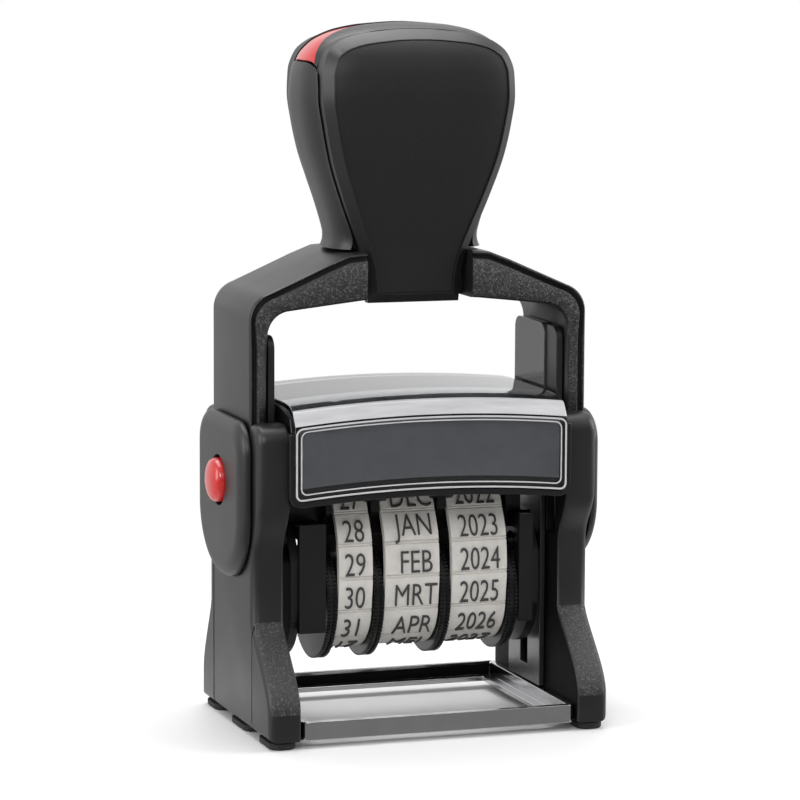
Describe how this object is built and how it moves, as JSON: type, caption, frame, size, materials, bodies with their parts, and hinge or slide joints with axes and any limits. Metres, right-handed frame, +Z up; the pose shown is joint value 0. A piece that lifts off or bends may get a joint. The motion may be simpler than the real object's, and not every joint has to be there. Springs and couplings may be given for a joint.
{
  "type": "self-inking date stamp",
  "caption": "Self-inking date stamp: a black U-shaped yoke with a grip presses a turning die unit with date bands down through a steel base frame.",
  "frame": {"origin": "on the desk, below the centre of the stamp's box", "axes": "+Z up along the press stroke, -Y towards the user, X across the stamp along the wheels' axle"},
  "size_m": [0.0742, 0.0449, 0.1298],
  "materials": {
    "black_abs": "satin black moulded plastic with fine grain",
    "black_satin": "smooth satin black plastic",
    "panel_matte": "matt near-black plastic",
    "red_gloss": "glossy red plastic",
    "guide_steel": "brushed",
    "chrome": "polished",
    "spring_steel": "drawn wire",
    "black_rubber": "matt",
    "band_rubber": "light grey, matt",
    "card": "dark printed card, bare",
    "smoked_clear": "clear, lightly smoked",
    "felt": "inked felt"
  },
  "bodies": {
    "stamp_base": {"left_side_housing": "black_abs", "left_front_foot": "black_rubber", "left_middle_foot": "black_rubber", "left_rear_foot": "black_rubber", "left_guide_plate": "guide_steel", "left_side_shield": "black_abs", "left_return_spring": "spring_steel", "right_side_housing": "black_abs", "right_front_foot": "black_rubber", "right_middle_foot": "black_rubber", "right_rear_foot": "black_rubber", "right_guide_plate": "guide_steel", "right_side_shield": "black_abs", "right_return_spring": "spring_steel", "base_frame": "chrome", "clear_cover": "smoked_clear", "label_card": "card", "pad_chamber": "black_abs"},
    "yoke_and_grip": {"yoke": "black_abs", "left_sliding_arm": "black_satin", "right_sliding_arm": "black_satin", "grip_core": "black_satin", "grip_front_plate": "black_abs", "grip_rear_plate": "black_abs", "front_label_panel": "panel_matte", "rear_label_panel": "panel_matte", "top_insert": "red_gloss"},
    "die_unit": {"die_frame": "black_abs", "wheel_axle": "guide_steel", "left_pivot_pin": "guide_steel", "right_pivot_pin": "guide_steel", "day_band": "band_rubber", "month_band": "band_rubber", "year_band": "band_rubber"},
    "day_dial": {"day_wheel": "black_abs"},
    "month_dial": {"month_wheel": "black_abs"},
    "year_dial": {"year_wheel": "black_abs"},
    "ink_cartridge": {"pad_tray": "black_satin", "ink_pad": "felt"},
    "left_button": {"left_lock_button": "red_gloss"},
    "right_button": {"right_lock_button": "red_gloss"}
  },
  "joints": [
    {"name": "yoke_press", "type": "slide", "parent": "stamp_base", "child": "yoke_and_grip", "axis": [0, 0, -1], "range_m": [0, 0.0145], "stiffness_N_per_m": 300, "springref_m": -0.012, "deforming": ["left_return_spring", "right_return_spring"]},
    {"name": "die_flip", "type": "hinge", "parent": "yoke_and_grip", "child": "die_unit", "pos_m": [0, 0.00285, 0.0317], "axis": [1, 0, 0], "range_deg": [0, 180]},
    {"name": "day_setting", "type": "hinge", "parent": "die_unit", "child": "day_dial", "pos_m": [0, 0.00285, 0.0232], "axis": [1, 0, 0], "continuous": true},
    {"name": "month_setting", "type": "hinge", "parent": "die_unit", "child": "month_dial", "pos_m": [0, 0.00285, 0.0232], "axis": [1, 0, 0], "continuous": true},
    {"name": "year_setting", "type": "hinge", "parent": "die_unit", "child": "year_dial", "pos_m": [0, 0.00285, 0.0232], "axis": [1, 0, 0], "continuous": true},
    {"name": "cartridge_slide", "type": "slide", "parent": "stamp_base", "child": "ink_cartridge", "axis": [0, 1, 0], "range_m": [0, 0.034]},
    {"name": "left_button_press", "type": "slide", "parent": "stamp_base", "child": "left_button", "axis": [1, 0, 0], "range_m": [0, 0.0011], "stiffness_N_per_m": 400, "springref_m": -0.0006},
    {"name": "right_button_press", "type": "slide", "parent": "stamp_base", "child": "right_button", "axis": [-1, 0, 0], "range_m": [0, 0.0011], "stiffness_N_per_m": 400, "springref_m": -0.0006}
  ],
  "couplings": [
    {"joint": "die_flip", "follows": "yoke_press", "rad_per_m": 216.6}
  ]
}
